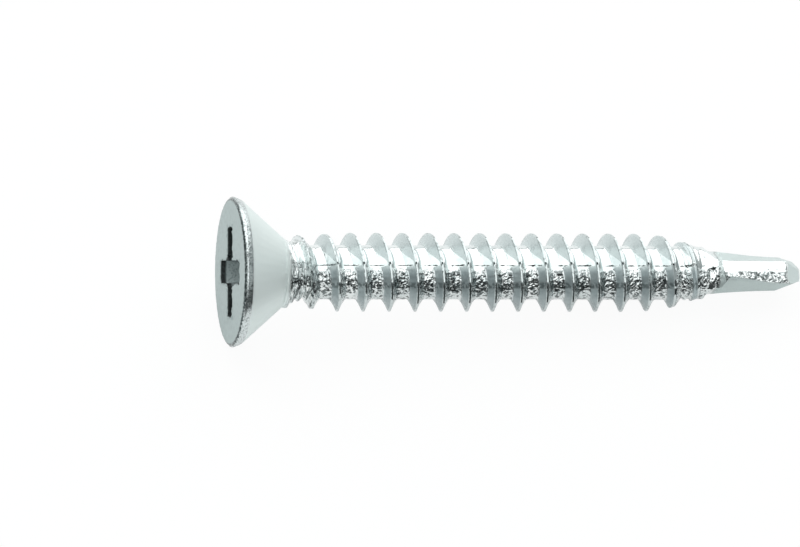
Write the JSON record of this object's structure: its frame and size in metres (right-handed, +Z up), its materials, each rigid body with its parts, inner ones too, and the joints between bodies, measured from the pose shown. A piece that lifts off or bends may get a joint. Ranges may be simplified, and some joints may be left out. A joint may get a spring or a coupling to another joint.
{
  "type": "self drilling screw",
  "caption": "Zinc-plated steel countersunk self drilling screw with a cross recess, a rolled tapping thread and a forged two-flute drill point.",
  "frame": {"origin": "centre of the bounding box on the floor that the screw lies on", "axes": "+Z up; +X along the screw from head to drill point, which dips about five degrees as the rim of the head lifts its end; -Y towards the side that the picture shows"},
  "size_m": [0.0312, 0.0078, 0.0079],
  "materials": {
    "zinc_plated_steel": "bright zinc plating over rolled and forged steel"
  },
  "bodies": {
    "root": {"screw": "zinc_plated_steel"}
  },
  "joints": []
}
